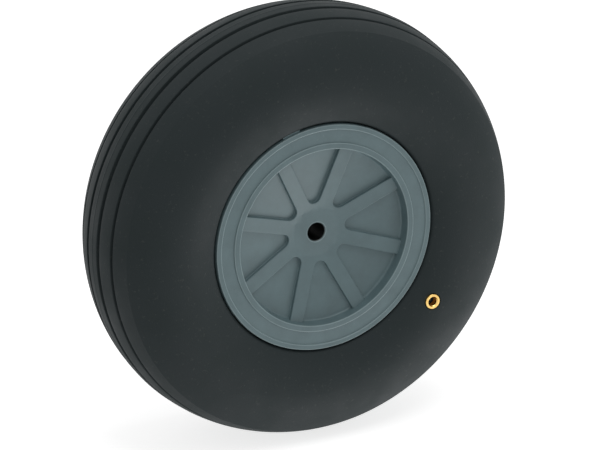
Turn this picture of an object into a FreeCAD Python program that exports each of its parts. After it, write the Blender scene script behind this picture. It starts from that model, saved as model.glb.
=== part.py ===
"""Inflatable wheel for a large model aircraft, in millimetres.

A hollow rubber tyre with a ribbed tread sits on a two-piece moulded hub. The hub halves meet at the
wheel's middle plane, centre on a spigot and are drawn together by four screws from the back. A brass
filling valve is moulded into the front sidewall: a sprung ball closes it from inside.

The wheel spins about the Y axis. Its outer face looks along -Y, Z is up, and the origin is the
centre of the wheel. Sections are drawn in (radius, front), where front is the distance ahead of the
middle plane.
"""

import FreeCAD, Part
import math
import os

from FreeCAD import Vector

# Tyre, outside
wheel_diameter = 152.4
tyre_width = 50.0
widest_below_tread = 19.7
crown_radius = 38.0
shoulder_inset = 7.0
lip_round = 0.9
inner_groove_offset = 4.1
inner_groove_width = 1.8
outer_groove_offset = 11.5
outer_groove_width = 1.2
groove_depth = 1.5
groove_floor_share = 0.75
parting_ridge_width = 0.6
parting_ridge_height = 0.2

# Tyre, inside
tread_wall = 5.0
side_wall = 3.0
base_wall = 3.5
bead_wall = 3.5
bead_shelf = 1.0
cavity_foot_round = 3.0

# Hub
hub_recess = 3.1
flange_radius = 40.5
flange_thickness = 2.5
flange_gap = 0.3
lip_below_flange = 0.2
outer_bead_width = 2.2
inner_bead_width = 2.7
bead_height = 0.45
bead_foot_drop = 0.3
flange_width = 7.0
barrel_wall = 2.5
rim_wall = 2.0
dish_depth_middle = 6.0
dish_depth_edge = 2.0
dish_flat_radius = 9.0
web_thickness = 2.2
centre_tube_radius = 7.0
bore_radius = 3.175
bore_chamfer = 0.4
spigot_wall = 1.2
spigot_length = 1.5
spigot_overlap = 1.0
spigot_gap = 0.1

# Spokes
spoke_count = 8
spoke_width = 5.2
spoke_height = 1.3
first_spoke_angle = 27.5
panel_inner_round = 2.4
panel_floor_round = 0.5

# Hub screws
screw_count = 4
screw_circle_radius = 19.0
screw_shaft_radius = 1.5
screw_length = 20.0
screw_clearance = 0.2
thread_gap = 0.05
screw_head_radius = 2.8
screw_head_height = 2.0
screw_head_round = 0.8
screw_head_gap = 0.3
screw_head_depth = 3.9
screw_hole_spare = 1.5
screw_boss_radius = 4.4
screw_slot_width = 0.8
screw_slot_length = 3.2
screw_slot_depth = 1.2

# Filling valve
valve_beyond_flange = 9.3
valve_angle = -36.2
valve_stand_proud = 0.35
valve_length = 11.0
valve_flange_radius = 2.7
valve_flange_thickness = 0.9
valve_flange_round = 0.35
valve_flange_gap = 0.2
valve_barrel_radius = 2.2
valve_rib_radius = 2.6
valve_rib_width = 0.8
valve_rib_depths = (3.0, 5.0, 7.0)
valve_port_radius = 1.5
valve_port_depth = 4.0
valve_port_chamfer = 0.35
valve_orifice_radius = 0.75
valve_orifice_length = 0.8
valve_chamber_radius = 1.5
valve_boss_radius = 5.5
valve_boss_cover = 2.6
valve_boss_short = 0.5

# Inside the valve
seal_thickness = 0.7
seal_hole_radius = 0.8
ball_radius = 1.1
valve_seat_gap = 0.05
valve_fit_gap = 0.05
spring_wire_radius = 0.12
spring_wire_flats = 8
spring_radius = 0.85
spring_turns = 4
retainer_thickness = 1.0
retainer_hole_radius = 0.5

ORIGIN = Vector(0, 0, 0)
SPIN_AXIS = Vector(0, 1, 0)
FRONT = Vector(0, -1, 0)

# How close an edge lies to the place where it is looked for
EDGE_REACH = 0.02

# How far the middle of a rounded corner's arc stays inside the corner, as a share of its radius
CORNER_SHARE = 1 - math.sqrt(0.5)

# Worked out from the sizes above
outer_radius = wheel_diameter / 2
widest_radius = outer_radius - widest_below_tread
shoulder_half_width = tyre_width / 2 - shoulder_inset
hub_half_width = tyre_width / 2 - hub_recess
barrel_radius = flange_radius - flange_width
dish_radius = barrel_radius - rim_wall
valve_distance = flange_radius + valve_beyond_flange
seat_front = hub_half_width - flange_thickness
seat_radius = flange_radius + flange_gap
lip_front = hub_half_width - lip_below_flange
middle_face = hub_half_width - dish_depth_middle
edge_face = hub_half_width - dish_depth_edge
barrel_inner_radius = barrel_radius - barrel_wall
spoke_pitch = 360.0 / spoke_count
chamber_top = valve_port_depth + valve_orifice_length
seal_bottom = chamber_top + seal_thickness
ball_depth = seal_bottom + math.sqrt(ball_radius**2 - seal_hole_radius**2) + valve_seat_gap
retainer_top = valve_length - retainer_thickness


def at(radius, front):
    """A point of a turned section."""
    return Vector(radius, -front, 0)


def path(*steps):
    """Edges through the points given: a pair is the next corner, two pairs are an arc's middle and end."""
    edges = []
    here = steps[0]
    for step in steps[1:]:
        if isinstance(step[0], tuple):
            middle, end = step
            edges.append(Part.Arc(at(*here), at(*middle), at(*end)).toShape())
        else:
            end = step
            edges.append(Part.LineSegment(at(*here), at(*end)).toShape())
        here = end
    return edges


def turned(*steps):
    """The solid swept by a closed section about the spin axis."""
    face = Part.Face(Part.Wire(path(*steps, steps[0])))
    solid = Part.Solid(face.revolve(ORIGIN, SPIN_AXIS, 360).Shells[0])
    if solid.Volume < 0:
        solid.reverse()
    return solid


def ring_edges(solid, radius, front):
    """The round edges of a turned solid at that radius and distance from the middle plane."""
    found = []
    for edge in solid.Edges:
        curve = edge.Curve
        if isinstance(curve, Part.Circle) and abs(curve.Radius - radius) < EDGE_REACH:
            if abs(curve.Center.y + front) < EDGE_REACH:
                found.append(edge)
    return found


def around(radius, angle, front=0.0):
    """The point at that distance from the spin axis, turned anticlockwise from +X as seen from the front."""
    turn = math.radians(angle)
    return Vector(radius * math.cos(turn), -front, radius * math.sin(turn))


def rod(radius, centre, front_end, back_end):
    """A cylinder along the spin axis between two distances ahead of the middle plane."""
    base = Vector(centre.x, -front_end, centre.z)
    return Part.makeCylinder(radius, front_end - back_end, base, SPIN_AXIS)


def crown_at(front):
    """The tread's radius at a distance from the middle plane."""
    return outer_radius - crown_radius + math.sqrt(crown_radius**2 - front**2)


def circle_through(a, b, c):
    """Centre and radius of the circle through three (radius, front) points."""
    circle = Part.Circle(at(*a), at(*b), at(*c))
    return (circle.Center.x, -circle.Center.y), circle.Radius


shoulder = (crown_at(shoulder_half_width), shoulder_half_width)
lip = (seat_radius, lip_front)
sidewall_centre, sidewall_radius = circle_through(shoulder, (widest_radius, tyre_width / 2), lip)


def sidewall_front(radius):
    """How far ahead of the middle plane the front sidewall's outer surface is at a radius."""
    return sidewall_centre[1] + math.sqrt(sidewall_radius**2 - (radius - sidewall_centre[0]) ** 2)


valve_front = sidewall_front(valve_distance) + valve_stand_proud
valve_centre = around(valve_distance, valve_angle)


def valve_turned(*steps):
    """A solid turned about the valve's axis, from a section in (radius, depth below its front face)."""
    section = [
        tuple((r, -d) for r, d in step) if isinstance(step[0], tuple) else (step[0], -step[1])
        for step in steps
    ]
    solid = turned(*section)
    solid.translate(Vector(valve_centre.x, -valve_front, valve_centre.z))
    return solid


# Tyre


def tyre_outside():
    """The tyre's outer form as a solid ring, without grooves."""
    wide = (widest_radius, tyre_width / 2)
    ring = turned(
        (barrel_radius, seat_front),
        (seat_radius, seat_front),
        lip,
        (wide, shoulder),
        ((outer_radius, 0), (shoulder[0], -shoulder[1])),
        ((wide[0], -wide[1]), (lip[0], -lip[1])),
        (seat_radius, -seat_front),
        (barrel_radius, -seat_front),
    )
    lips = ring_edges(ring, lip[0], lip[1]) + ring_edges(ring, lip[0], -lip[1])
    return ring.makeFillet(lip_round, lips)


def air_space():
    """The hollow that holds the air, a wall's thickness inside the outer form."""
    crown_centre = outer_radius - crown_radius
    inner_crown = crown_radius - tread_wall
    top_front = shoulder_half_width - side_wall / 2
    top = (crown_centre + math.sqrt(inner_crown**2 - top_front**2), top_front)
    side = (widest_radius, tyre_width / 2 - side_wall)
    bead = (seat_radius + bead_shelf, seat_front - bead_wall)
    foot = (barrel_radius + base_wall, seat_front - bead_wall)
    space = turned(
        foot,
        bead,
        (side, top),
        ((crown_centre + inner_crown, 0), (top[0], -top[1])),
        ((side[0], -side[1]), (bead[0], -bead[1])),
        (foot[0], -foot[1]),
    )
    feet = ring_edges(space, foot[0], foot[1]) + ring_edges(space, foot[0], -foot[1])
    return space.makeFillet(cavity_foot_round, feet)


def groove(offset, width):
    """The ring cut out of the tread for one groove, narrower at its floor."""
    top = outer_radius + groove_depth
    crown = crown_at(offset)
    floor = crown - groove_depth
    flare = width / 2 + (1 - groove_floor_share) * width / 2 * (top - crown) / groove_depth
    half_floor = groove_floor_share * width / 2
    return turned(
        (floor, offset - half_floor),
        (top, offset - flare),
        (top, offset + flare),
        (floor, offset + half_floor),
    )


def parting_ridge():
    """The fine raised line that the mould leaves round the middle of the tread."""
    half = parting_ridge_width / 2
    foot = crown_at(half) - parting_ridge_height
    return turned(
        (foot, half),
        (crown_at(half), half),
        ((outer_radius + parting_ridge_height, 0), (crown_at(half), -half)),
        (foot, -half),
    )


def make_tyre():
    """The rubber tyre, with its grooves, hollow, valve boss and the valve's pocket."""
    tyre = tyre_outside().cut(air_space())
    boss_end = valve_front - valve_length + valve_boss_short
    boss = rod(valve_boss_radius, valve_centre, valve_front - valve_boss_cover, boss_end)
    tyre = tyre.fuse([boss, parting_ridge()])
    for offset, width in (
        (inner_groove_offset, inner_groove_width),
        (outer_groove_offset, outer_groove_width),
    ):
        tyre = tyre.cut([groove(offset, width), groove(-offset, width)])
    mouth = rod(
        valve_flange_radius + valve_flange_gap,
        valve_centre,
        valve_front + tyre_width,
        valve_front - valve_flange_thickness,
    )
    return tyre.cut([valve_outside(), mouth]).removeSplitter()


# Hub


def dish_face(radius):
    """How far ahead of the middle plane the spokes' faces are at a radius."""
    if radius <= dish_flat_radius:
        return middle_face
    share = (radius - dish_flat_radius) / (dish_radius - dish_flat_radius)
    return middle_face + share * (edge_face - middle_face)


# Distance of the screw heads' seats behind the middle plane
screw_seat = dish_face(screw_circle_radius) - spoke_height - screw_head_depth


def hub_blank():
    """One hub half before its panels are sunk: flange, barrel, dished web and centre tube."""
    web_drop = spoke_height + web_thickness
    crest = hub_half_width + bead_height
    bead_foot = hub_half_width - bead_foot_drop
    outer_foot = flange_radius - outer_bead_width
    inner_foot = dish_radius + inner_bead_width
    return turned(
        (bore_radius, 0),
        (bore_radius, middle_face - bore_chamfer),
        (bore_radius + bore_chamfer, middle_face),
        (dish_flat_radius, middle_face),
        (dish_radius, edge_face),
        (dish_radius, bead_foot),
        ((dish_radius + inner_bead_width / 2, crest), (inner_foot, hub_half_width)),
        (outer_foot, hub_half_width),
        ((flange_radius - outer_bead_width / 2, crest), (flange_radius, bead_foot)),
        (flange_radius, seat_front),
        (barrel_radius, seat_front),
        (barrel_radius, 0),
        (barrel_inner_radius, 0),
        (barrel_inner_radius, dish_face(barrel_inner_radius) - web_drop),
        (dish_flat_radius, middle_face - web_drop),
        (centre_tube_radius, middle_face - web_drop),
        (centre_tube_radius, 0),
    )


def panel_outline():
    """One panel's outline in the middle plane, pointing along +X, its rounded end towards the axis."""
    half_pitch = math.radians(spoke_pitch / 2)
    along = Vector(math.cos(half_pitch), 0, math.sin(half_pitch))
    out = Vector(-math.sin(half_pitch), 0, math.cos(half_pitch))
    round_centre = (spoke_width / 2 + panel_inner_round) / math.sin(half_pitch)
    upper = Vector(round_centre, 0, 0) + out * panel_inner_round
    upper_end = upper + along * dish_radius
    tip = Vector(round_centre - panel_inner_round, 0, 0)
    lower = Vector(upper.x, 0, -upper.z)
    lower_end = Vector(upper_end.x, 0, -upper_end.z)
    return Part.Wire(
        [
            Part.LineSegment(upper_end, upper).toShape(),
            Part.Arc(upper, tip, lower).toShape(),
            Part.LineSegment(lower, lower_end).toShape(),
            Part.LineSegment(lower_end, upper_end).toShape(),
        ]
    )


def panel_sinker(angle):
    """The solid that sinks one panel between two spokes, its floor parallel to the spokes' faces."""
    column = Part.Face(panel_outline()).extrude(FRONT * 2 * hub_half_width)
    round_dish = turned(
        (0, middle_face - spoke_height),
        (dish_flat_radius, middle_face - spoke_height),
        (dish_radius, edge_face - spoke_height),
        (dish_radius, hub_half_width),
        (0, hub_half_width),
    )
    sinker = column.common(round_dish)
    highest_floor = edge_face - spoke_height
    floor_edges = [e for e in sinker.Edges if -e.BoundBox.YMin <= highest_floor + panel_floor_round / 2]
    sinker = sinker.makeFillet(panel_floor_round, floor_edges)
    sinker.rotate(ORIGIN, SPIN_AXIS, -angle)
    return sinker


def screw_places():
    """The screws' axes in the middle plane, each on the centreline of a panel, evenly spread."""
    first = first_spoke_angle + spoke_pitch / 2
    return [around(screw_circle_radius, first + 360.0 * k / screw_count) for k in range(screw_count)]


def hub_half():
    """One hub half with its spokes and the solid screw columns behind them, before any screw hole."""
    sinkers = [
        panel_sinker(first_spoke_angle + spoke_pitch * (k + 0.5)) for k in range(spoke_count)
    ]
    column_top = dish_face(screw_circle_radius) - spoke_height - web_thickness / 2
    columns = [rod(screw_boss_radius, place, column_top, 0) for place in screw_places()]
    return hub_blank().cut(sinkers).fuse(columns).removeSplitter()


def spigot_ring(wall, front_end, back_end):
    """A ring along the inside of the barrel: the spigot that centres the halves, or its recess."""
    return turned(
        (barrel_inner_radius, front_end),
        (barrel_inner_radius + wall, front_end),
        (barrel_inner_radius + wall, back_end),
        (barrel_inner_radius, back_end),
    )


def make_hub_front():
    """The outer hub half, with blind holes that the screws cut their thread in."""
    spigot = spigot_ring(spigot_wall, spigot_overlap, -spigot_length)
    half = hub_half().fuse(spigot).removeSplitter()
    hole_end = screw_length - screw_seat + screw_hole_spare
    holes = [rod(screw_shaft_radius + thread_gap, place, hole_end, 0) for place in screw_places()]
    return half.cut(holes)


def make_hub_rear():
    """The inner hub half: the outer one mirrored, with sunk screw seats and a step for the spigot."""
    recess = spigot_ring(spigot_wall + spigot_gap, spigot_length + spigot_gap, -spigot_overlap)
    half = hub_half().cut(recess)
    for place in screw_places():
        seat = rod(screw_head_radius + screw_head_gap, place, hub_half_width, screw_seat)
        shaft = rod(screw_shaft_radius + screw_clearance, place, hub_half_width, 0)
        half = half.cut([seat, shaft])
    return half.mirror(ORIGIN, SPIN_AXIS)


def make_screw(place):
    """A pan-head screw that enters from the back: its head is seated in the rear half."""
    head_top = screw_seat + screw_head_height
    tip = screw_seat - screw_length
    round_drop = screw_head_round * CORNER_SHARE
    screw = turned(
        (0, tip),
        (screw_shaft_radius, tip + screw_shaft_radius),
        (screw_shaft_radius, screw_seat),
        (screw_head_radius, screw_seat),
        (screw_head_radius, head_top - screw_head_round),
        (
            (screw_head_radius - round_drop, head_top - round_drop),
            (screw_head_radius - screw_head_round, head_top),
        ),
        (0, head_top),
    )
    slots = []
    for length, width in ((screw_slot_length, screw_slot_width), (screw_slot_width, screw_slot_length)):
        corner = Vector(-length / 2, -head_top, -width / 2)
        slots.append(Part.makeBox(length, screw_slot_depth, width, corner))
    screw = screw.cut(slots).mirror(ORIGIN, SPIN_AXIS)
    screw.translate(place)
    return screw


# Filling valve


def valve_outside():
    """The outer form of the valve's brass insert: flange, barrel and the ribs that grip the rubber."""
    round_drop = valve_flange_round * CORNER_SHARE
    body = valve_turned(
        (0, 0),
        (valve_flange_radius - valve_flange_round, 0),
        ((valve_flange_radius - round_drop, round_drop), (valve_flange_radius, valve_flange_round)),
        (valve_flange_radius, valve_flange_thickness),
        (valve_barrel_radius, valve_flange_thickness),
        (valve_barrel_radius, valve_length),
        (0, valve_length),
    )
    ribs = [
        valve_turned(
            (0, depth),
            (valve_rib_radius, depth),
            (valve_barrel_radius, depth + valve_rib_width),
            (0, depth + valve_rib_width),
        )
        for depth in valve_rib_depths
    ]
    return body.fuse(ribs).removeSplitter()


def make_valve_body():
    """The brass insert, bored for the filling adapter, its orifice and the ball's chamber."""
    passage = valve_turned(
        (0, 0),
        (valve_port_radius + valve_port_chamfer, 0),
        (valve_port_radius, valve_port_chamfer),
        (valve_port_radius, valve_port_depth),
        (valve_orifice_radius, valve_port_depth),
        (valve_orifice_radius, chamber_top),
        (valve_chamber_radius, chamber_top),
        (valve_chamber_radius, valve_length),
        (0, valve_length),
    )
    return valve_outside().cut(passage)


def washer(outer, hole, top, bottom):
    """A flat ring on the valve's axis, between two depths below its front face."""
    return valve_turned((hole, top), (outer, top), (outer, bottom), (hole, bottom))


def make_valve_seal():
    """The rubber ring that the ball closes against."""
    return washer(valve_chamber_radius - valve_fit_gap, seal_hole_radius, chamber_top, seal_bottom)


def make_valve_ball():
    """The steel ball, at rest on its seal."""
    centre = Vector(valve_centre.x, ball_depth - valve_front, valve_centre.z)
    return Part.makeSphere(ball_radius, centre)


def wire_section(centre, heading):
    """The spring wire's section: the round wire drawn with flats, at the same area."""
    flat_angle = math.tau / spring_wire_flats
    corner_radius = spring_wire_radius * math.sqrt(flat_angle / math.sin(flat_angle))
    across = Vector(1, 0, 0)
    up = heading.cross(across).normalize()
    corners = []
    for k in range(spring_wire_flats + 1):
        turn = flat_angle * k
        corners.append(centre + across * corner_radius * math.cos(turn) + up * corner_radius * math.sin(turn))
    return Part.makePolygon(corners)


def make_valve_spring():
    """The wire coil that holds the ball on its seal, between the ball and the retainer."""
    wire_reach = ball_radius + spring_wire_radius
    first_coil = ball_depth + math.sqrt(wire_reach**2 - spring_radius**2) + valve_seat_gap
    last_coil = retainer_top - spring_wire_radius - valve_seat_gap
    height = last_coil - first_coil
    helix = Part.makeHelix(height / spring_turns, height, spring_radius)
    start = Vector(spring_radius, 0, 0)
    heading = Vector(0, math.tau * spring_radius, height / spring_turns)
    spring = Part.Wire(helix.Edges).makePipeShell([wire_section(start, heading)], True, True)
    spring.rotate(ORIGIN, Vector(1, 0, 0), -90)
    spring.translate(Vector(valve_centre.x, first_coil - valve_front, valve_centre.z))
    return spring


def make_valve_retainer():
    """The brass ring pressed into the chamber's end, which carries the spring and lets air through."""
    return washer(valve_chamber_radius - valve_fit_gap, retainer_hole_radius, retainer_top, valve_length)


def main():
    """Write every piece of the wheel."""
    pieces = {
        "tyre": make_tyre(),
        "hub_front": make_hub_front(),
        "hub_rear": make_hub_rear(),
        "valve_body": make_valve_body(),
        "valve_seal": make_valve_seal(),
        "valve_ball": make_valve_ball(),
        "valve_spring": make_valve_spring(),
        "valve_retainer": make_valve_retainer(),
    }
    for number, place in enumerate(screw_places(), start=1):
        pieces[f"hub_screw_{number}"] = make_screw(place)
    os.makedirs("parts", exist_ok=True)
    for name, shape in pieces.items():
        shape.exportStep(f"parts/{name}.step")
        print(name, shape.isValid(), len(shape.Solids), round(shape.Volume, 2))


main()
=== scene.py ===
"""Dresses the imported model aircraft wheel: ribbed tyre, dished hub, screws and filling valve.

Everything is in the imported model's frame, in metres. The wheel spins about Y and its outer face
looks along -Y. Turned sections are drawn in millimetres as (radius, front), where front is the
distance ahead of the wheel's middle plane.
"""

import logging
import math
from dataclasses import dataclass
from enum import Enum
from typing import Callable

import bmesh
import bpy
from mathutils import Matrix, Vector


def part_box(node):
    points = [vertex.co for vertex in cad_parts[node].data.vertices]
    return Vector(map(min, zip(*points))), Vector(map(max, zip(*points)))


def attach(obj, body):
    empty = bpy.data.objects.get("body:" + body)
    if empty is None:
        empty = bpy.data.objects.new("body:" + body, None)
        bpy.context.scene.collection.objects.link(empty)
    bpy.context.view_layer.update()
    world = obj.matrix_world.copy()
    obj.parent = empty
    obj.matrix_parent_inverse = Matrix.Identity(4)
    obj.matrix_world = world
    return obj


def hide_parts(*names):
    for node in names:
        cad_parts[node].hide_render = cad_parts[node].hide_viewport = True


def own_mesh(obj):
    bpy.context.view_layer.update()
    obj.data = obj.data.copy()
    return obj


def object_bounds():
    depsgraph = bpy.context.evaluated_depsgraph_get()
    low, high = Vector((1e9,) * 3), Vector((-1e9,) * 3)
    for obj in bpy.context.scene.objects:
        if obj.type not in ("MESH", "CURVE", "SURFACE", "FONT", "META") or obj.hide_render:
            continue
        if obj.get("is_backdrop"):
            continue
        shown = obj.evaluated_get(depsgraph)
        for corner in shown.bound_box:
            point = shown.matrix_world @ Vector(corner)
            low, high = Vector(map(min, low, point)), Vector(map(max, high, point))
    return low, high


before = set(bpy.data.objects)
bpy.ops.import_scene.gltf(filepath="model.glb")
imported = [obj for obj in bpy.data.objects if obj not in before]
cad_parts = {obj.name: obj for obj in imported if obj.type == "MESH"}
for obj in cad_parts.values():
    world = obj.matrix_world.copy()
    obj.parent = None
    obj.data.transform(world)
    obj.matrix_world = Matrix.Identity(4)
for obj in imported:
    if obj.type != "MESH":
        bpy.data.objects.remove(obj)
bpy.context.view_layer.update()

logging.basicConfig(level=logging.INFO, format="%(message)s")
log = logging.getLogger("wheel")

MM = 0.001
FULL_TURN = 2 * math.pi
SPIN_AXIS = Vector((0, 1, 0))
SAME_PLACE = 0.001 * MM
SLACK_MM = 0.1
WINDING_STEPS = 32
SCREW_STEPS = 48

WHITE = (1.0, 1.0, 1.0, 1.0)
# Where a cloudy texture's values lie, and where only its peaks do.
MOTTLE_SPAN = (0.3, 0.7)
FLECK_SPAN = (0.62, 0.74)
# Share of the radius of a bore's painted shade over which its edge fades.
BORE_FADE = 0.03
# Distance between the rings of a wave texture whose scale is one.
WAVE_SPACING = FULL_TURN / 20

Corner = tuple[float, float]
Section = list[Corner]
Profile = tuple[Corner, ...]
Span = tuple[float, float]
Triple = tuple[float, float, float]
Edge = bmesh.types.BMEdge
Material = bpy.types.Material
Piece = bpy.types.Object
Socket = bpy.types.NodeSocket
Tree = bpy.types.NodeTree


class Side(Enum):
    """Which face of the wheel a half belongs to."""

    FRONT = "front"
    REAR = "rear"


class Grain(Enum):
    """What leaves a finish's fine relief."""

    MOULD = "mould"
    LATHE = "lathe"


# Finishes


def linear(hex_colour: str) -> tuple[float, float, float, float]:
    """Turn an sRGB colour such as "#66747a" into linear red, green and blue and an alpha of one."""
    parts = [int(hex_colour[i : i + 2], 16) / 255 for i in (1, 3, 5)]
    red, green, blue = [p / 12.92 if p <= 0.04045 else ((p + 0.055) / 1.055) ** 2.4 for p in parts]
    return red, green, blue, 1.0


def fill_inputs(tree: Tree, node: bpy.types.Node, inputs: dict) -> None:
    """Give a node's inputs their values, and link those that get another node's output."""
    for name, value in inputs.items():
        if isinstance(value, Socket):
            tree.links.new(value, node.inputs[name])
        else:
            node.inputs[name].default_value = value


def add_node(tree: Tree, kind: str, inputs: dict, **settings) -> bpy.types.Node:
    """Add one node with its settings, values and links, and return it.

    Args:
        tree: Node tree that gets the node.
        kind: Node type, such as "ShaderNodeTexNoise".
        inputs: Input names or numbers, each with a value or another node's output.
        settings: Properties of the node.
    """
    node = tree.nodes.new(kind)
    for name, value in settings.items():
        setattr(node, name, value)
    fill_inputs(tree, node, inputs)
    return node


def per_metre(size_mm: float) -> float:
    """Texture scale at which a pattern's features are that many millimetres apart."""
    return 1 / (size_mm * MM)


def noise(tree: Tree, place: Socket, size_mm: float, detail: float, roughness: float) -> Socket:
    """Add a cloudy texture with features of a size and return its value."""
    inputs = {"Vector": place, "Scale": per_metre(size_mm), "Detail": detail, "Roughness": roughness}
    return add_node(tree, "ShaderNodeTexNoise", inputs).outputs["Fac"]


def calculate(tree: Tree, operation: str, *values: Socket | float) -> Socket:
    """Add a sum such as "MULTIPLY" over the values and return its result."""
    return add_node(tree, "ShaderNodeMath", dict(enumerate(values)), operation=operation).outputs[0]


def remap(tree: Tree, value: Socket, span: Span, result: Span = (0.0, 1.0)) -> Socket:
    """Stretch a span of values onto another one, clamp them to it and return the result."""
    limits = dict(zip(("From Min", "From Max", "To Min", "To Max"), span + result))
    return add_node(tree, "ShaderNodeMapRange", {"Value": value, **limits}).outputs["Result"]


@dataclass(frozen=True)
class Finish:
    """A surface: what it is made of and what its making left on it."""

    name: str
    light: str
    dark: str
    rough_low: float
    rough_high: float
    mottle_mm: float
    relief_mm: float
    relief_depth_mm: float
    metallic: float = 0.0
    ior: float = 1.5
    specular: float = 0.5
    fleck: str = ""
    fleck_mm: float = 1.0
    fleck_share: float = 0.0
    bore_shade: str = ""
    bore_shade_mm: float = 1.0
    highlight_ring: str = ""
    highlight_rings_mm: tuple[float, ...] = ()
    highlight_ring_half_mm: float = 0.17
    highlight_ring_share: float = 0.4
    grain: Grain = Grain.MOULD
    axis_at: tuple[float, float] = (0.0, 0.0)

    def make(self) -> Material:
        """Build the material, whose colour, roughness and relief vary over the surface."""
        material = bpy.data.materials.new(self.name)
        material.use_nodes = True
        tree = material.node_tree
        place = add_node(tree, "ShaderNodeTexCoord", {}).outputs["Object"]
        mottle = noise(tree, place, self.mottle_mm, detail=5.0, roughness=0.6)
        gloss = remap(tree, mottle, MOTTLE_SPAN, (self.rough_low, self.rough_high))
        depth = self.relief_depth_mm * MM
        heights = {"Height": self.relief(tree, place), "Strength": 1.0, "Distance": depth}
        bump = add_node(tree, "ShaderNodeBump", heights)
        inputs = {
            "Metallic": self.metallic,
            "Specular IOR Level": self.specular,
            "Base Color": self.colour(tree, place, mottle),
            "Roughness": gloss,
            "Normal": bump.outputs["Normal"],
        }
        if not self.metallic:
            inputs["IOR"] = self.ior
        fill_inputs(tree, tree.nodes["Principled BSDF"], inputs)
        return material

    def colour(self, tree: Tree, place: Socket, mottle: Socket) -> Socket:
        """Add the cloudy colour, with flecks, painted shade in a bore and painted highlight rings where
        the finish has them.
        """
        tint = add_node(tree, "ShaderNodeValToRGB", {"Fac": mottle})
        tones = (self.dark, self.light)
        for element, position, tone in zip(tint.color_ramp.elements, MOTTLE_SPAN, tones):
            element.position = position
            element.color = linear(tone)
        layers = []
        if self.fleck:
            specks = noise(tree, place, self.fleck_mm, detail=2.0, roughness=0.7)
            layers.append((remap(tree, specks, FLECK_SPAN, (0.0, self.fleck_share)), self.fleck))
        # Painted shade: a bore is coloured dark, fading out at its radius.
        if self.bore_shade:
            radius = self.bore_shade_mm * MM
            fade = (radius * (1 + BORE_FADE), radius * (1 - BORE_FADE))
            layers.append((remap(tree, self.distance_from_axis(tree, place), fade), self.bore_shade))
        # Painted highlights: pale rings at listed radii stand in for light catching edges.
        for highlight_ring_mm in self.highlight_rings_mm:
            distance = self.distance_from_axis(tree, place)
            on_highlight_ring = calculate(tree, "COMPARE", distance, highlight_ring_mm * MM, self.highlight_ring_half_mm * MM)
            layers.append((calculate(tree, "MULTIPLY", on_highlight_ring, self.highlight_ring_share), self.highlight_ring))
        colour = tint.outputs["Color"]
        for share, tone in layers:
            # A mix node's colours are its inputs 6 and 7 and its output 2.
            inputs = {0: share, 6: colour, 7: linear(tone)}
            colour = add_node(tree, "ShaderNodeMix", inputs, data_type="RGBA").outputs[2]
        return colour

    def distance_from_axis(self, tree: Tree, place: Socket) -> Socket:
        """Add the distance, in metres, from the axis that the piece is turned or moulded about."""
        centre = (self.axis_at[0], 0.0, self.axis_at[1])
        across_only = (1.0, 0.0, 1.0)
        offset = add_node(tree, "ShaderNodeVectorMath", {0: place, 1: centre}, operation="SUBTRACT")
        inputs = {0: offset.outputs["Vector"], 1: across_only}
        across = add_node(tree, "ShaderNodeVectorMath", inputs, operation="MULTIPLY")
        inputs = {0: across.outputs["Vector"]}
        return add_node(tree, "ShaderNodeVectorMath", inputs, operation="LENGTH").outputs["Value"]

    def relief(self, tree: Tree, place: Socket) -> Socket:
        """Add the texture of the fine relief and return its height."""
        if self.grain is Grain.LATHE:
            centre = (-self.axis_at[0], 0.0, -self.axis_at[1])
            about_axis = add_node(tree, "ShaderNodeMapping", {"Vector": place, "Location": centre})
            inputs = {
                "Vector": about_axis.outputs["Vector"],
                "Scale": per_metre(self.relief_mm) * WAVE_SPACING,
                "Distortion": 0.4,
            }
            rings = add_node(tree, "ShaderNodeTexWave", inputs, wave_type="RINGS", rings_direction="Y")
            return rings.outputs["Fac"]
        return noise(tree, place, self.relief_mm, detail=3.0, roughness=0.55)


# Carbon-black rubber from a blasted mould: near black, dull satin, cloudy, with a little pale dust.
TYRE_RUBBER = Finish(
    name="tyre_rubber_moulded",
    light="#272f30",
    dark="#20282a",
    rough_low=0.6,
    rough_high=0.76,
    mottle_mm=16.0,
    relief_mm=0.5,
    relief_depth_mm=0.035,
    specular=0.24,
    fleck="#4c4f4c",
    fleck_mm=1.3,
    fleck_share=0.3,
)
# Injection-moulded grey nylon: even colour, silky sheen, faint flow clouds and pinhead pale flecks.
# Painted shade colours its bore near black; painted highlights ring its bore's mouth and beads' shoulders.
HUB_NYLON = Finish(
    name="hub_nylon_moulded",
    light="#687d81",
    dark="#5f7377",
    rough_low=0.34,
    rough_high=0.46,
    mottle_mm=7.0,
    relief_mm=0.6,
    relief_depth_mm=0.012,
    ior=1.53,
    specular=0.38,
    fleck="#7d8c90",
    fleck_mm=0.8,
    fleck_share=0.25,
    # Painted shade: the bore is near black.
    bore_shade="#0c0d0d",
    bore_shade_mm=3.3,
    # Painted highlights: pale rings on the bore's mouth and the beads' shoulders.
    highlight_ring="#a9bcbe",
    highlight_rings_mm=(3.6, 31.8, 33.7, 38.65, 40.2),
)
# Nitrile rubber of the valve's seal: dull and black.
SEAL_NITRILE = Finish("seal_nitrile", "#1b1b1b", "#141414", 0.7, 0.8, 1.0, 0.15, 0.01)
# Ball and spring: bright hardened steel.
BALL_STEEL = Finish("ball_steel_polished", "#b9bbbd", "#a9abae", 0.12, 0.2, 0.6, 0.2, 0.002, metallic=1.0)
# Hub screws: steel under a thin, slightly cloudy zinc plate.
ZINC = "screw_steel_zinc_plated"
SCREW_ZINC = Finish(ZINC, "#b4b7bb", "#9ea2a8", 0.25, 0.38, 1.2, 0.25, 0.004, metallic=1.0)


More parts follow.
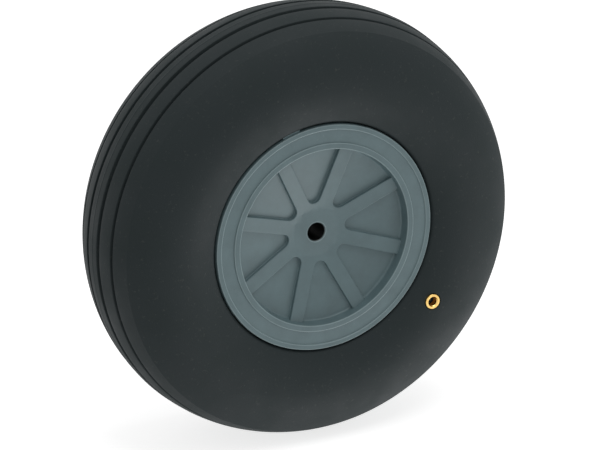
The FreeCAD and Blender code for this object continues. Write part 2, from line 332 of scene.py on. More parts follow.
def turned_brass(axis_at: tuple[float, float]) -> Finish:
    """Free-cutting brass: warm yellow and bright, ringed by the lathe, with painted brown shade in its
    bore.

    Args:
        axis_at: Where the turned piece's axis crosses the X-Z plane, in metres.
    """
    return Finish(
        name="valve_brass_turned",
        light="#f6d68c",
        dark="#dfb264",
        rough_low=0.16,
        rough_high=0.26,
        mottle_mm=0.8,
        relief_mm=0.3,
        relief_depth_mm=0.003,
        metallic=1.0,
        # Painted shade: the port's bore is coloured dark brown.
        bore_shade="#54310f",
        bore_shade_mm=1.55,
        grain=Grain.LATHE,
        axis_at=axis_at,
    )


# Sections


def arc(centre: Corner, radius: float, start: float, end: float, steps: int) -> Section:
    """Corners along an arc of a section.

    Args:
        centre: Centre as radius and front, in millimetres.
        radius: Radius of the arc.
        start: Angle of the first corner, in degrees from the radial direction towards the front.
        end: Angle of the last corner.
        steps: Number of chords.

    Returns:
        The corners, ends included.
    """
    turns = [math.radians(start + (end - start) * k / steps) for k in range(steps + 1)]
    return [(centre[0] + radius * math.cos(t), centre[1] + radius * math.sin(t)) for t in turns]


def circle_through(a: Corner, b: Corner, c: Corner) -> tuple[Corner, float]:
    """Find the centre and the radius of the circle through three corners."""
    (ax, ay), (bx, by), (cx, cy) = a, b, c
    spread = 2 * (ax * (by - cy) + bx * (cy - ay) + cx * (ay - by))
    squares = [ax * ax + ay * ay, bx * bx + by * by, cx * cx + cy * cy]
    x = (squares[0] * (by - cy) + squares[1] * (cy - ay) + squares[2] * (ay - by)) / spread
    y = (squares[0] * (cx - bx) + squares[1] * (ax - cx) + squares[2] * (bx - ax)) / spread
    return (x, y), math.dist((x, y), a)


def angle_of(centre: Corner, corner: Corner) -> float:
    """Angle of a corner seen from a centre, in degrees from the radial direction."""
    return math.degrees(math.atan2(corner[1] - centre[1], corner[0] - centre[0]))


def mirrored(section: Section) -> Section:
    """The same corners on the wheel's other side, in reverse order."""
    return [(radius, -front) for radius, front in reversed(section)]


# Modelling


def at(radius: float, front: float) -> Vector:
    """A section's corner in metres, in the plane where turning starts."""
    return Vector((radius, -front, 0)) * MM


def around(radius: float, angle: float) -> Vector:
    """A place in the middle plane, turned anticlockwise from +X as seen from the front, in metres."""
    turn = math.radians(angle)
    return Vector((math.cos(turn), 0, math.sin(turn))) * radius * MM


def radius_of(place: Vector) -> float:
    """A place's distance from the wheel's axis, in millimetres."""
    return math.hypot(place.x, place.z) / MM


def leave_edit() -> None:
    """Return from edit mode to object mode."""
    bpy.ops.object.mode_set(mode="OBJECT")


def deselect_all() -> None:
    """Leave edit mode and deselect every object."""
    if bpy.context.object and bpy.context.object.mode != "OBJECT":
        leave_edit()
    bpy.ops.object.select_all(action="DESELECT")


def work_on(piece: Piece) -> None:
    """Make one piece the only selected and active one."""
    deselect_all()
    piece.select_set(True)
    bpy.context.view_layer.objects.active = piece


def edit_all(piece: Piece) -> None:
    """Open a piece in edit mode with everything selected."""
    work_on(piece)
    bpy.ops.object.mode_set(mode="EDIT")
    bpy.ops.mesh.select_mode(type="VERT")
    bpy.ops.mesh.select_all(action="SELECT")


def start_piece(name: str) -> Piece:
    """Add a piece, in edit mode, that is a single selected point at the origin, ready to be traced."""
    deselect_all()
    bpy.ops.mesh.primitive_plane_add(size=MM, location=(0, 0, 0))
    piece = bpy.context.object
    piece.name = name
    edit_all(piece)
    bpy.ops.mesh.merge(type="CENTER")
    return piece


def trace(places: list[Vector], closed: bool = True) -> None:
    """In edit mode, draw a line through the places by extruding the point at the origin.

    Places that coincide are merged, and the whole line stays selected.

    Args:
        places: Places in metres.
        closed: Whether the line returns to the first place.
    """
    here = places[0]
    bpy.ops.transform.translate(value=here)
    for there in places[1:] + (places[:1] if closed else []):
        bpy.ops.mesh.extrude_region_move(TRANSFORM_OT_translate={"value": there - here})
        here = there
    bpy.ops.mesh.select_all(action="SELECT")
    bpy.ops.mesh.remove_doubles(threshold=SAME_PLACE)


def close_up() -> None:
    """In edit mode, merge what lies in one place, turn all faces outwards and leave edit mode."""
    bpy.ops.mesh.select_all(action="SELECT")
    bpy.ops.mesh.remove_doubles(threshold=SAME_PLACE)
    bpy.ops.mesh.normals_make_consistent(inside=False)
    leave_edit()


def turn_piece(name: str, section: Section, steps: int, axis_at: Vector = Vector()) -> Piece:
    """Turn a section about an axis along Y and return the piece, its faces outwards.

    Args:
        name: Name of the new piece.
        section: The section's corners. It closes on its first corner, unless it starts on the axis.
        steps: Number of facets round the axis.
        axis_at: Where the axis crosses the X-Z plane, in metres.
    """
    piece = start_piece(name)
    trace([axis_at + at(*corner) for corner in section], closed=section[0][0] > 0)
    bpy.ops.mesh.spin(steps=steps, angle=FULL_TURN, center=axis_at, axis=SPIN_AXIS)
    close_up()
    return piece


def extrude_outline(name: str, outline: list[Vector], depth: Vector) -> Piece:
    """Fill a closed outline, extrude it by a depth and return the closed prism, its faces outwards."""
    piece = start_piece(name)
    trace(outline)
    bpy.ops.mesh.edge_face_add()
    bpy.ops.mesh.extrude_region_move(TRANSFORM_OT_translate={"value": depth})
    close_up()
    return piece


def wind_piece(name: str, section: Section, pitch: float, turns: int, axis_at: Vector) -> Piece:
    """Wind a closed section backwards about an axis along Y and close the piece at both ends.

    Args:
        name: Name of the new piece.
        section: The section's corners.
        pitch: How far it goes back in one turn, in millimetres.
        turns: Number of turns.
        axis_at: Where the axis crosses the X-Z plane, in metres.
    """
    piece = start_piece(name)
    trace([Vector((radius, 0, front)) * MM for radius, front in section])
    leave_edit()
    winding = piece.modifiers.new("winding", "SCREW")
    winding.angle = FULL_TURN
    winding.screw_offset = -pitch * MM
    winding.iterations = turns
    winding.steps = WINDING_STEPS
    winding.render_steps = WINDING_STEPS
    bpy.ops.object.modifier_apply(modifier=winding.name)
    edit_all(piece)
    bpy.ops.transform.rotate(value=math.radians(-90), orient_axis="X", center_override=(0, 0, 0))
    bpy.ops.transform.translate(value=axis_at)
    bpy.ops.mesh.fill_holes(sides=len(section))
    close_up()
    return piece


def turned_copy(piece: Piece, angle: float) -> Piece:
    """Copy a piece with its mesh and turn the copy about the wheel's axis by an angle in degrees."""
    work_on(piece)
    bpy.ops.object.duplicate(linked=False)
    copy = bpy.context.object
    edit_all(copy)
    bpy.ops.transform.rotate(value=math.radians(angle), orient_axis="Y", center_override=(0, 0, 0))
    leave_edit()
    return copy


def join(pieces: list[Piece]) -> Piece:
    """Join pieces into the first one."""
    deselect_all()
    for piece in pieces:
        piece.select_set(True)
    bpy.context.view_layer.objects.active = pieces[0]
    bpy.ops.object.join()
    return pieces[0]


def cut_away(piece: Piece, tool: Piece) -> None:
    """Cut a tool, which is a closed form, out of a piece and remove the tool."""
    work_on(piece)
    cut = piece.modifiers.new("cut", "BOOLEAN")
    cut.operation = "DIFFERENCE"
    cut.solver = "EXACT"
    cut.object = tool
    bpy.ops.object.modifier_apply(modifier=cut.name)
    bpy.data.objects.remove(tool)


def select_edges(piece: Piece, wanted: Callable[[Edge], bool]) -> None:
    """In edit mode, select only the wanted edges."""
    bpy.ops.mesh.select_mode(type="EDGE")
    bpy.ops.mesh.select_all(action="DESELECT")
    shape = bmesh.from_edit_mesh(piece.data)
    for edge in shape.edges:
        if wanted(edge):
            edge.select_set(True)
    bmesh.update_edit_mesh(piece.data)


def dress(piece: Piece, material: Material) -> None:
    """Give a piece one material in every slot."""
    if not piece.material_slots:
        piece.data.materials.append(material)
    for slot in piece.material_slots:
        slot.material = material
    log.info("%s: %d faces, %s", piece.name, len(piece.data.polygons), material.name)


def finish_piece(piece: Piece, material: Material, node: str, smooth: float = 35.0) -> None:
    """Smooth a new piece, dress it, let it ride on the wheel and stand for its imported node.

    Args:
        piece: The finished mesh object.
        material: Its material.
        node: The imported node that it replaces.
        smooth: Edges that turn more than this, in degrees, stay sharp.
    """
    work_on(piece)
    bpy.ops.object.shade_smooth_by_angle(angle=math.radians(smooth))
    piece.data.materials.clear()
    dress(piece, material)
    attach(piece, "wheel")
    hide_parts(node)


def even_shading(piece: Piece) -> None:
    """Let the large faces rule the shading, so that the rounded edges catch the light cleanly."""
    work_on(piece)
    weigh = piece.modifiers.new("even_shading", "WEIGHTED_NORMAL")
    weigh.keep_sharp = True
    bpy.ops.object.modifier_apply(modifier=weigh.name)


def turn_inside_out(piece: Piece, scale: Triple = (1, 1, 1)) -> None:
    """Scale a piece about the wheel's centre and turn its faces to the other side."""
    edit_all(piece)
    bpy.ops.transform.resize(value=scale, center_override=(0, 0, 0))
    bpy.ops.mesh.flip_normals()
    leave_edit()


# The valve


@dataclass
class FillingValve:
    """The brass filling insert in the front sidewall. Its axis is given in the X-Z plane, in metres."""

    front: float = 25.19
    flange_radius: float = 2.7
    flange_thickness: float = 0.9
    flange_round: float = 0.35
    pocket_gap: float = 0.2
    pocket_depth: float = 2.4
    pocket_flare: float = 0.3
    pocket_ledge: float = 0.05
    pocket_rise: float = 3.0
    barrel_radius: float = 2.2
    rib_radius: float = 2.6
    rib_width: float = 0.8
    rib_lead: float = 0.05
    rib_depths: tuple[float, ...] = (3.0, 5.0, 7.0)
    length: float = 11.0
    port_radius: float = 1.5
    port_chamfer: float = 0.3
    port_lip: float = 0.12
    port_depth: float = 4.0
    thread_pitch: float = 0.5
    thread_height: float = 0.22
    thread_flank_share: float = 0.45
    thread_crest: float = 0.04
    thread_sunk: float = 0.05
    orifice_radius: float = 0.75
    orifice_length: float = 0.8
    chamber_radius: float = 1.5
    spring_radius: float = 0.85
    spring_turns: int = 4
    spring_give: float = 0.85
    wire_radius: float = 0.12
    wire_corners: int = 10
    steps: int = 72

    def pocket(self, axis_at: Vector) -> Piece:
        """The tool that sinks the insert's pocket in the rubber."""
        top = self.front + self.pocket_rise
        seat = self.front - self.flange_thickness
        floor = self.front - self.pocket_depth
        mouth = self.flange_radius + self.pocket_gap
        section = [
            (0.0, top),
            (mouth + self.pocket_flare, top),
            (mouth, seat),
            (self.barrel_radius, seat - self.pocket_ledge),
            (self.barrel_radius, floor),
            (0.0, floor),
        ]
        return turn_piece("valve_pocket", section, self.steps, axis_at)

    def section(self) -> Section:
        """The insert's closed section: flange, ribbed barrel and stepped passage."""
        top = self.front
        lip = self.flange_round
        flange_back = top - self.flange_thickness
        corners = arc((self.flange_radius - lip, top - lip), lip, 90.0, 0.0, steps=6)
        corners += [(self.flange_radius, flange_back), (self.barrel_radius, flange_back)]
        for depth in self.rib_depths:
            corners += [
                (self.barrel_radius, top - depth),
                (self.rib_radius, top - depth - self.rib_lead),
                (self.barrel_radius, top - depth - self.rib_width),
            ]
        shoulder = top - self.port_depth - self.orifice_length
        mouth = (self.port_radius + self.port_chamfer + self.port_lip, top - self.port_lip)
        corners += [
            (self.barrel_radius, top - self.length),
            (self.chamber_radius, top - self.length),
            (self.chamber_radius, shoulder),
            (self.orifice_radius, shoulder),
            (self.orifice_radius, top - self.port_depth),
            (self.port_radius, top - self.port_depth),
            (self.port_radius, top - self.port_chamfer - self.port_lip),
        ]
        return corners + arc(mouth, self.port_lip, 180.0, 90.0, steps=3)

    def thread(self, axis_at: Vector) -> Piece:
        """The port's internal thread, a closed ridge wound down its wall."""
        half = self.thread_pitch * self.thread_flank_share
        start = self.front - self.port_chamfer - self.thread_pitch
        root = self.port_radius + self.thread_sunk
        crest = self.port_radius - self.thread_height
        ridge = [
            (root, start + half),
            (crest, start + self.thread_crest),
            (crest, start - self.thread_crest),
            (root, start - half),
        ]
        turns = int((self.port_depth - self.port_chamfer) / self.thread_pitch) - 1
        return wind_piece("port_thread", ridge, self.thread_pitch, turns, axis_at)

    def build_spring(self, axis_at: Vector, material: Material) -> None:
        """Wind the spring that holds the ball on its seal, dress it and give it its own mesh."""
        low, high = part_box("valve_spring")
        first = -low.y / MM - self.wire_radius
        pitch = ((high.y - low.y) / MM - 2 * self.wire_radius) / self.spring_turns
        last_corner = 360 - 360 / self.wire_corners
        wire = arc((self.spring_radius, first), self.wire_radius, 0.0, last_corner, self.wire_corners - 1)
        spring = wind_piece("coil_spring", wire, pitch, self.spring_turns, axis_at)
        finish_piece(spring, material, "valve_spring", smooth=60.0)
        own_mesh(spring)

    def build(self, axis_at: Vector, material: Material) -> None:
        """Turn the insert, wind its thread and dress it."""
        body = turn_piece("valve_insert", self.section(), self.steps, axis_at)
        insert = join([body, self.thread(axis_at)])
        finish_piece(insert, material, "valve_body")


# The tyre


@dataclass
class Tyre:
    """The hollow rubber tyre: ribbed tread, shoulders, sidewalls and the lips that hold the hub."""

    radius: float = 76.2
    half_width: float = 25.0
    widest_radius: float = 56.5
    crown_radius: float = 38.0
    shoulder_front: float = 18.0
    lip: Corner = (40.8, 21.7)
    lip_round: float = 2.3
    seat_front: float = 19.4
    base_radius: float = 33.5
    grooves: tuple[Corner, ...] = ((4.1, 1.8), (11.5, 1.2))
    groove_depth: float = 1.5
    groove_floor_share: float = 0.75
    groove_lip: float = 0.22
    # How far out and down a groove's rounded edge lies, as shares of its lip, and how far out and up
    # the corners at its foot lie, in millimetres.
    groove_edge: Profile = ((1.4, 0.0), (0.5, 0.12), (0.05, 0.5), (-0.15, 1.3))
    groove_foot: Profile = ((0.05, 0.25), (-0.05, 0.06), (-0.22, 0.0))
    ridge_half_width: float = 0.45
    ridge_height: float = 0.1
    # Shares of the ridge's half width and of its height.
    ridge_profile: Profile = ((0.0, 1.0), (0.5, 0.7), (1.0, 0.0), (3.0, 0.0))
    rib_steps: int = 4
    shoulder_steps: int = 5
    wall: float = 3.0
    wall_steps: int = 40
    tread_wall: float = 5.0
    cavity_radius: float = 38.0
    cavity_steps: int = 24
    # How far outside the lip and behind the wall the cavity's foot lies, and how far inside the
    # cavity's radius and behind its foot its last corners lie.
    cavity_foot: Corner = (1.0, 0.5)
    cavity_toe: Profile = ((0.0, 1.5), (1.0, 4.0))
    steps: int = 256

    def crown_at(self, front: float) -> float:
        """The tread's radius at a distance from the middle plane."""
        return self.radius - self.crown_radius + math.sqrt(self.crown_radius**2 - front**2)

    def tread_point(self, front: float, drop: float = 0.0) -> Corner:
        """A corner on the tread, or a drop below it."""
        return self.crown_at(front) - drop, front

    def ridge(self) -> Section:
        """The front half of the fine line that the mould's joint leaves round the tread."""
        width, height = self.ridge_half_width, self.ridge_height
        return [self.tread_point(width * across, -height * rise) for across, rise in self.ridge_profile]

    def groove(self, offset: float, width: float) -> Section:
        """One groove's corners from its inner to its outer side, with softened edges.

        Args:
            offset: The groove's middle, ahead of the wheel's middle plane.
            width: Its width at the tread's surface.
        """
        half_top = width / 2
        half_floor = half_top * self.groove_floor_share
        lip = self.groove_lip
        flank = [(half_top + out * lip, down * lip) for out, down in self.groove_edge]
        flank += [(half_floor + out, self.groove_depth - up) for out, up in self.groove_foot]
        down = [self.tread_point(offset - across, drop) for across, drop in flank]
        up = [self.tread_point(offset + across, drop) for across, drop in reversed(flank)]
        return down + up

    def tread(self) -> Section:
        """The front half of the tread, from the middle to the shoulder."""
        corners = self.ridge()
        for offset, width in self.grooves:
            start = corners[-1][1]
            reach = offset - width / 2 - 2 * self.groove_lip - start
            steps = self.rib_steps
            corners += [self.tread_point(start + reach * k / steps) for k in range(1, steps)]
            corners += self.groove(offset, width)
        start = corners[-1][1]
        reach = self.shoulder_front - start
        steps = self.shoulder_steps
        return corners + [self.tread_point(start + reach * k / steps) for k in range(1, steps + 1)]

    def sidewall(self) -> Section:
        """The front sidewall from the shoulder to the rounded lip and down to the hub's seat."""
        shoulder = self.tread_point(self.shoulder_front)
        centre, radius = circle_through(shoulder, (self.widest_radius, self.half_width), self.lip)
        round_at = self.lip[0] + self.lip_round
        rise = math.sqrt((radius - self.lip_round) ** 2 - (round_at - centre[0]) ** 2)
        round_centre = (round_at, centre[1] + rise)
        leave = angle_of(centre, round_centre)
        wall = arc(centre, radius, angle_of(centre, shoulder), leave, self.wall_steps)[1:]
        return wall + arc(round_centre, self.lip_round, leave, 180.0, steps=10)[1:]

    def cavity(self) -> Section:
        """The air space's closed section, a wall's thickness inside."""
        top = (self.tread_point(self.shoulder_front)[0] - self.wall, self.shoulder_front - self.wall / 2)
        side = (self.widest_radius, self.half_width - self.wall)
        foot = (self.lip[0] + self.cavity_foot[0], self.seat_front - self.wall - self.cavity_foot[1])
        centre, radius = circle_through(top, side, foot)
        half = [(self.radius - self.tread_wall, 0.0)]
        half += arc(centre, radius, angle_of(centre, top), angle_of(centre, foot), self.cavity_steps)
        half += [(self.cavity_radius - inwards, foot[1] - back) for inwards, back in self.cavity_toe]
        return half + mirrored(half)[:-1]

    def build(self, valve: FillingValve, valve_at: Vector, material: Material) -> None:
        """Turn the tyre, sink the valve's pocket at its axis, hollow the tyre and dress it."""
        seat = [(self.lip[0], self.seat_front), (self.base_radius, self.seat_front)]
        half = self.tread() + self.sidewall() + seat
        tyre = turn_piece("tyre_moulding", half + mirrored(half)[:-1], self.steps)
        cut_away(tyre, valve.pocket(valve_at))
        hollow = turn_piece("tyre_hollow", self.cavity(), self.steps // 2)
        turn_inside_out(hollow)
        finish_piece(join([tyre, hollow]), material, "tyre", smooth=14.0)


# The hub


@dataclass
class HubScrew:
    """A pan-head screw with a cross recess, sunk in the rear half's web."""

    head_radius: float = 2.8
    head_height: float = 2.0
    head_round: float = 0.8
    shaft_radius: float = 1.5
    length: float = 20.0
    recess_length: float = 3.2
    recess_width: float = 0.8
    recess_depth: float = 1.2
    recess_taper: float = 0.6
    recess_rise: float = 0.2
    tip_share: float = 0.3
    seat_chamfer: float = 0.1

    def section(self, seat: float) -> Section:
        """The screw's section, its head towards the back and seated that far behind the middle plane."""
        tip = self.length - seat
        top = -seat - self.head_height
        round_centre = (self.head_radius - self.head_round, top + self.head_round)
        return [
            (0.0, tip),
            (self.shaft_radius * self.tip_share, tip),
            (self.shaft_radius, tip - self.shaft_radius),
            (self.shaft_radius, -seat),
            (self.head_radius - self.seat_chamfer, -seat),
            (self.head_radius, -seat - self.seat_chamfer),
            *arc(round_centre, self.head_round, 0.0, -90.0, steps=6),
            (0.0, top),
        ]

    def cut_recess(self, screw: Piece, axis_at: Vector, top: float) -> None:
        """Cut the cross recess: two bars that narrow towards the bottom.

        Args:
            screw: The turned screw.
            axis_at: Where its axis crosses the X-Z plane, in metres.
            top: How far behind the middle plane the head's top lies.
        """
        mouth = axis_at + Vector((0, top + self.recess_rise, 0)) * MM
        depth = Vector((0, -self.recess_depth - self.recess_rise, 0)) * MM
        halfway = mouth.y + depth.y / 2
        corners = ((1, 1), (1, -1), (-1, -1), (-1, 1))
        narrow = (self.recess_taper, 1.0, self.recess_taper)
        bar_size = (self.recess_length, self.recess_width)
        for length, width in (bar_size, bar_size[::-1]):
            outline = [mouth + Vector((x * length / 2, 0, z * width / 2)) * MM for x, z in corners]
            bar = extrude_outline("screw_recess", outline, depth)
            edit_all(bar)
            select_edges(bar, lambda edge: all(corner.co.y < halfway for corner in edge.verts))
            bpy.ops.transform.resize(value=narrow, center_override=mouth + depth)
            leave_edit()
            cut_away(screw, bar)

    def build(self, number: int, axis_at: Vector, seat: float, material: Material) -> None:
        """Model one screw, whose head is seated that far behind the middle plane, and dress it."""
        screw = turn_piece(f"pan_screw_{number}", self.section(seat), SCREW_STEPS, axis_at)
        self.cut_recess(screw, axis_at, seat + self.head_height)
        finish_piece(screw, material, f"hub_screw_{number}")


@dataclass
class HubHalf:
    """One nylon hub half: flange with two raised beads, barrel, dished web and eight spokes."""

    side: Side
    half_width: float = 21.9
    flange_radius: float = 40.5
    flange_back: float = 19.4
    flange_chamfer: float = 0.15
    flange_land: float = 0.5
    outer_bead: Span = (38.4, 40.5)
    inner_bead: Span = (31.5, 34.0)
    bead_height: float = 0.42
    bead_round: float = 0.38
    bead_draft: float = 0.1
    # How far a bead's foot spreads, across and up.
    bead_foot: Corner = (0.12, 0.06)
    barrel_radius: float = 33.5
    barrel_inner: float = 31.0
    dish_radius: float = 31.5
    dish_edge: float = 19.9
    dish_rise: float = 4.0
    flat_radius: float = 9.0
    tube_radius: float = 7.0
    bore_radius: float = 3.175
    bore_chamfer: float = 0.4
    spoke_count: int = 8
    spoke_width: float = 5.2
    spoke_height: float = 1.3
    spoke_edge: float = 0.28
    first_spoke: float = 27.5
    web_thickness: float = 2.2
    web_reach: float = 32.4
    panel_round: float = 2.4
    panel_round_steps: int = 14
    rim_fillet: float = 0.8
    rim_draft: float = 0.3
    rim_land: float = 0.4
    rim_overlap: float = 0.5
    screw_circle: float = 19.0
    screw_count: int = 4
    screw_hole: float = 3.1
    screw_shaft_hole: float = 1.7
    screw_column: float = 4.4
    screw_cup: float = 2.4
    screw_seat: float = 12.48
    flash_angle: float = 94.0
    flash_sweep: float = 9.0
    flash_steps: int = 14
    flash_back: float = 0.4
    # The sliver's corners, outside the flange's edge and ahead of its place.
    flash_profile: Profile = ((-0.3, 0.0), (0.7, 0.3), (0.7, 0.15), (-0.3, -0.16))
    rim_steps: int = 240
    web_steps: int = 144
    # Least length of a radial edge, and how far from a spoke's middle it is off it, in degrees.
    radial_length: float = 1.0
    off_spoke: float = 0.5
    wall_turn: float = 50.0
    # The grid's pitch, and the share of it by which its lines miss the axis.
    dish_grid: float = 3.0
    dish_grid_shift: float = 0.37

    def build(self, material: Material) -> None:
        """Model the half, bring it to its side and dress it."""
        web = self.web()
        extras = [self.flash()] if self.side is Side.FRONT else self.sink_screws(web)
        half = join([self.rim(), web, *extras])
        if self.side is Side.REAR:
            turn_inside_out(half, scale=(1, -1, 1))
        half.name = f"hub_moulding_{self.side.value}"
        finish_piece(half, material, f"hub_{self.side.value}")
        even_shading(half)

    def bead(self, inner: float, outer: float) -> Section:
        """The rounded front of a bead between two radii, from its outer to its inner side."""
        middle = self.half_width + self.bead_height - self.bead_round
        inset = self.bead_draft + self.bead_round
        corners = arc((outer - inset, middle), self.bead_round, 0.0, 90.0, steps=4)
        return corners + arc((inner + inset, middle), self.bead_round, 90.0, 180.0, steps=4)

    def rim(self) -> Piece:
        """Turn the flange, the beads, the barrel and the wall down into the dish."""
        floor = self.dish_edge - self.spoke_height
        foot = self.half_width
        slope = math.atan2(self.dish_rise, self.dish_radius - self.flat_radius)
        inset = self.rim_draft + self.rim_fillet
        lift = self.rim_fillet / math.cos(slope) - inset * math.tan(slope)
        fillet_centre = (self.dish_radius - inset, floor + lift)
        fillet = arc(fillet_centre, self.rim_fillet, 0.0, math.degrees(slope) - 90, steps=5)
        spread, rise = self.bead_foot
        section = [
            (self.barrel_inner, 0.0),
            (self.barrel_radius, 0.0),
            (self.barrel_radius, self.flange_back),
            (self.flange_radius - self.flange_chamfer, self.flange_back),
            (self.flange_radius, self.flange_back + self.flange_chamfer),
            (self.flange_radius, foot - self.flange_land),
            *self.bead(*self.outer_bead),
            (self.outer_bead[0], foot + rise),
            (self.outer_bead[0] - spread, foot),
            (self.inner_bead[1] + spread, foot),
            (self.inner_bead[1], foot + rise),
            *self.bead(*self.inner_bead),
            (self.dish_radius, foot - self.rim_land),
            *fillet,
            (fillet[-1][0], floor - self.web_thickness),
            (self.barrel_inner, floor - self.web_thickness - self.rim_overlap),
        ]
        return turn_piece("hub_rim", section, self.rim_steps)

    def web(self) -> Piece:
        """Model the web flat with its tube, sink the panels, round their edges and push it into a dish."""
        face = self.dish_edge
        back = face - self.spoke_height - self.web_thickness
        section = [
            (self.bore_radius, self.dish_rise),
            (self.bore_radius, face - self.bore_chamfer),
            (self.bore_radius + self.bore_chamfer, face),
            (self.flat_radius, face),
            (self.web_reach, face),
            (self.web_reach, back),
            (self.tube_radius, back),
            (self.tube_radius, self.dish_rise),
        ]
        web = turn_piece("hub_web", section, self.web_steps)
        self.open_fields(web)
        first = self.panel_tool()
        pitch = 360 / self.spoke_count
        tools = [turned_copy(first, self.first_spoke + pitch * (k + 0.5)) for k in range(self.spoke_count)]
        bpy.data.objects.remove(first)
        cut_away(web, join(tools))
        self.round_panels(web)
        self.push_dish(web)
        return web

    def open_fields(self, web: Piece) -> None:
        """Dissolve the flat web's radial edges, except those along the spokes' middles."""
        pitch = 360 / self.spoke_count

        def between_spokes(edge: Edge) -> bool:
            """Whether a radial edge of the web's faces lies off every spoke's middle."""
            inner, outer = sorted(radius_of(corner.co) for corner in edge.verts)
            if inner < self.tube_radius - SLACK_MM or outer < self.web_reach - SLACK_MM:
                return False
            if outer - inner < self.radial_length:
                return False
            middle = (edge.verts[0].co + edge.verts[1].co) / 2
            angle = math.degrees(math.atan2(middle.z, middle.x)) - self.first_spoke
            return abs((angle + pitch / 2) % pitch - pitch / 2) > self.off_spoke

        edit_all(web)
        select_edges(web, between_spokes)
        bpy.ops.mesh.dissolve_edges(use_verts=False)
        leave_edit()

    def panel_tool(self) -> Piece:
        """The tool that sinks one panel, pointing along +X, its narrow end rounded."""
        lean = 180 / self.spoke_count
        round_centre = (self.spoke_width / 2 + self.panel_round) / math.sin(math.radians(lean))
        level = Vector((round_centre, self.spoke_height - self.dish_edge, 0)) * MM
        sweep = 180 - 2 * lean
        turns = [90 + lean + sweep * k / self.panel_round_steps for k in range(self.panel_round_steps + 1)]
        tip = [level + around(self.panel_round, turn) for turn in turns]
        outline = [tip[0] + around(self.web_reach, lean), *tip, tip[-1] + around(self.web_reach, -lean)]
        return extrude_outline("panel_tool", outline, Vector((0, -2 * self.spoke_height, 0)) * MM)

    def round_panels(self, web: Piece) -> None:
        """Round the spokes' edges and the panels' floors in the flat web."""
        deepest = -(self.dish_edge - self.spoke_height - SLACK_MM) * MM

        def by_a_panel(edge: Edge) -> bool:
            """Whether an edge borders a panel's wall."""
            inner = min(radius_of(corner.co) for corner in edge.verts)
            if inner < self.flat_radius + 2 * SLACK_MM or inner > self.web_reach - SLACK_MM:
                return False
            if any(corner.co.y > deepest for corner in edge.verts) or len(edge.link_faces) != 2:
                return False
            return edge.calc_face_angle(0.0) > math.radians(self.wall_turn)

        edit_all(web)
        select_edges(web, by_a_panel)
        bpy.ops.mesh.bevel(offset=self.spoke_edge * MM, segments=3, affect="EDGES", clamp_overlap=False)
        leave_edit()

    def push_dish(self, web: Piece) -> None:
        """Divide the flat web by a grid and push its middle back, so that it forms a cone."""
        edit_all(web)
        cuts = int(self.web_reach / self.dish_grid)
        for across in (Vector((1, 0, 0)), Vector((0, 0, 1))):
            for k in range(-cuts, cuts + 1):
                bpy.ops.mesh.select_all(action="SELECT")
                spot = across * (k + self.dish_grid_shift) * self.dish_grid * MM
                bpy.ops.mesh.bisect(plane_co=spot, plane_no=across, threshold=SAME_PLACE)
        reach = self.flat_radius + SLACK_MM / 10
        select_edges(web, lambda edge: all(radius_of(corner.co) < reach for corner in edge.verts))
        bpy.ops.transform.translate(
            value=(0, self.dish_rise * MM, 0),
            use_proportional_edit=True,
            proportional_edit_falloff="LINEAR",
            proportional_size=(self.dish_radius - self.flat_radius) * MM,
        )
        leave_edit()

    def flash(self) -> Piece:
        """The thin sliver that the mould left on the flange's edge."""
        piece = start_piece("hub_flash")
        edge = self.flange_radius
        front = self.half_width - self.flash_back
        trace([at(edge + out, front + ahead) for out, ahead in self.flash_profile])
        bpy.ops.mesh.edge_face_add()
        sweep = math.radians(self.flash_sweep)
        bpy.ops.mesh.spin(steps=self.flash_steps, angle=sweep, center=(0, 0, 0), axis=SPIN_AXIS)
        bpy.ops.mesh.select_all(action="SELECT")
        end = math.radians(self.flash_angle + self.flash_sweep)
        bpy.ops.transform.rotate(value=end, orient_axis="Y", center_override=(0, 0, 0))
        close_up()
        return piece

    def sink_screws(self, web: Piece) -> list[Piece]:
        """Sink the screw holes in the dished web and return the columns that the screws pull on."""
        seat, mouth, column_end = self.screw_seat, self.half_width, self.screw_seat + self.screw_cup
        hole = [(0.0, seat), (self.screw_hole, seat), (self.screw_hole, mouth), (0.0, mouth)]
        column = [
            (self.screw_shaft_hole, 0.0),
            (self.screw_column, 0.0),
            (self.screw_column, column_end),
            (self.screw_hole, column_end),
            (self.screw_hole, seat),
            (self.screw_shaft_hole, seat),
        ]
        columns = []
        for place in self.screw_places():
            cut_away(web, turn_piece("screw_hole", hole, SCREW_STEPS, place))
            columns.append(turn_piece("screw_column", column, SCREW_STEPS, place))
        return columns

    def screw_places(self) -> list[Vector]:
        """The screws' axes in the middle plane, in metres, on the middles of every other panel."""
        first = self.first_spoke + 180 / self.spoke_count
        pitch = 360 / self.screw_count
        return [around(self.screw_circle, first + pitch * k) for k in range(self.screw_count)]


# The studio


def seen_directly(tree: Tree) -> Socket:
    """Add a value that is one for rays from the camera, from gloss and through glass."""
    rays = add_node(tree, "ShaderNodeLightPath", {}).outputs
    first = calculate(tree, "MAXIMUM", rays["Is Camera Ray"], rays["Is Glossy Ray"])
    return calculate(tree, "MAXIMUM", first, rays["Is Transmission Ray"])


def add_lamp(name: str, place: Triple, size: float, power: float) -> None:
    """Add a square soft lamp of a size in metres and a power in watts, aimed at the wheel's centre."""
    deselect_all()
    bpy.ops.object.light_add(type="AREA", location=place)
    lamp = bpy.context.object
    lamp.name = name
    lamp.data.size = size
    lamp.data.energy = power
    lamp.rotation_euler = (-Vector(place)).to_track_quat("-Z", "Y").to_euler()


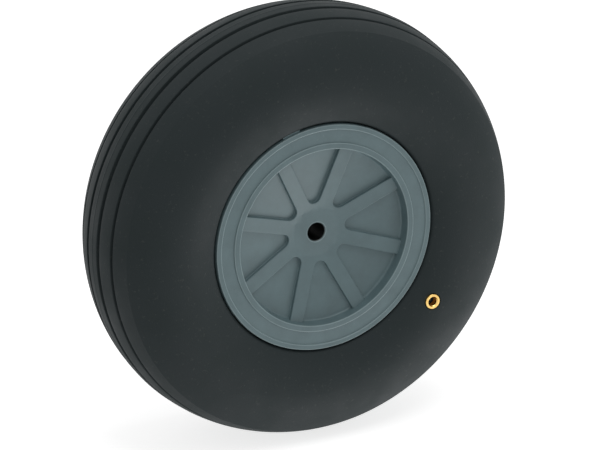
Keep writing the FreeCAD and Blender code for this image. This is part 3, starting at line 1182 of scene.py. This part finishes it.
@dataclass
class Studio:
    """Camera, floor, surroundings and lamps."""

    azimuth: float = -26.28
    elevation: float = 21.1
    distance: float = 1.615
    lens_mm: float = 283.2
    aim_right: float = 0.00146
    aim_up: float = -0.00278
    floor_size: float = 30.0
    floor_white: float = 0.8
    floor_glow: float = 0.75
    surround: float = 0.36

    def build(self) -> None:
        """Set up the camera, the floor, the world and the lamps."""
        self.add_camera()
        self.add_floor()
        self.add_world()
        add_lamp("low_lamp", (0.66, -0.42, -0.9), size=0.7, power=6.0)
        add_lamp("top_lamp", (0.1, -0.3, 1.2), size=0.9, power=5.5)
        bpy.context.scene.view_settings.view_transform = "Standard"

    def add_camera(self) -> None:
        """Put the camera at its angle, aimed beside the wheel's centre."""
        turn = math.radians(self.azimuth)
        lift = math.radians(self.elevation)
        back = Vector((math.sin(turn) * math.cos(lift), -math.cos(turn) * math.cos(lift), math.sin(lift)))
        right = Vector((math.cos(turn), math.sin(turn), 0))
        aim = right * self.aim_right + back.cross(right) * self.aim_up
        deselect_all()
        bpy.ops.object.camera_add(location=aim + back * self.distance)
        camera = bpy.context.object
        camera.rotation_euler = (-back).to_track_quat("-Z", "Y").to_euler()
        camera.data.lens = self.lens_mm
        camera.data.clip_start = 0.1
        bpy.context.scene.camera = camera

    def add_floor(self) -> None:
        """Lay the pale floor just under the tread."""
        deselect_all()
        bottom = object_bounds()[0].z
        bpy.ops.mesh.primitive_plane_add(size=self.floor_size, location=(0, 0, bottom))
        floor = bpy.context.object
        floor.name = "floor"
        material = bpy.data.materials.new("floor_white_matt")
        material.use_nodes = True
        tree = material.node_tree
        inputs = {
            "Base Color": (self.floor_white,) * 3 + (1.0,),
            "Roughness": 1.0,
            "Specular IOR Level": 0.0,
            "Emission Color": WHITE,
            "Emission Strength": calculate(tree, "MULTIPLY", seen_directly(tree), self.floor_glow),
        }
        fill_inputs(tree, tree.nodes["Principled BSDF"], inputs)
        floor.data.materials.append(material)
        # The low lamp stands below the floor and has to light the wheel through it.
        floor.visible_shadow = False
        floor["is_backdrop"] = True

    def add_world(self) -> None:
        """Surround the wheel with even white light."""
        world = bpy.data.worlds.new("white_surround")
        world.use_nodes = True
        bpy.context.scene.world = world
        tree = world.node_tree
        strength = remap(tree, seen_directly(tree), (0.0, 1.0), (self.surround, 1.0))
        fill_inputs(tree, tree.nodes["Background"], {"Color": WHITE, "Strength": strength})


def main() -> None:
    """Build every piece and report it."""
    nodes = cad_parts
    low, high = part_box("valve_body")
    valve_at = Vector(((low.x + high.x) / 2, 0, (low.z + high.z) / 2))
    brass = turned_brass((valve_at.x, valve_at.z)).make()
    steel = BALL_STEEL.make()
    nylon = HUB_NYLON.make()
    zinc = SCREW_ZINC.make()

    valve = FillingValve()
    Tyre().build(valve, valve_at, TYRE_RUBBER.make())
    for side in Side:
        HubHalf(side).build(nylon)
    rear = HubHalf(Side.REAR)
    for number, place in enumerate(rear.screw_places(), start=1):
        HubScrew().build(number, place, rear.screw_seat, zinc)
    valve.build(valve_at, brass)
    dress(nodes["valve_retainer"], brass)
    dress(nodes["valve_seal"], SEAL_NITRILE.make())
    dress(nodes["valve_ball"], steel)
    valve.build_spring(valve_at, steel)

    Studio().build()


if __name__ == "__main__":
    main()
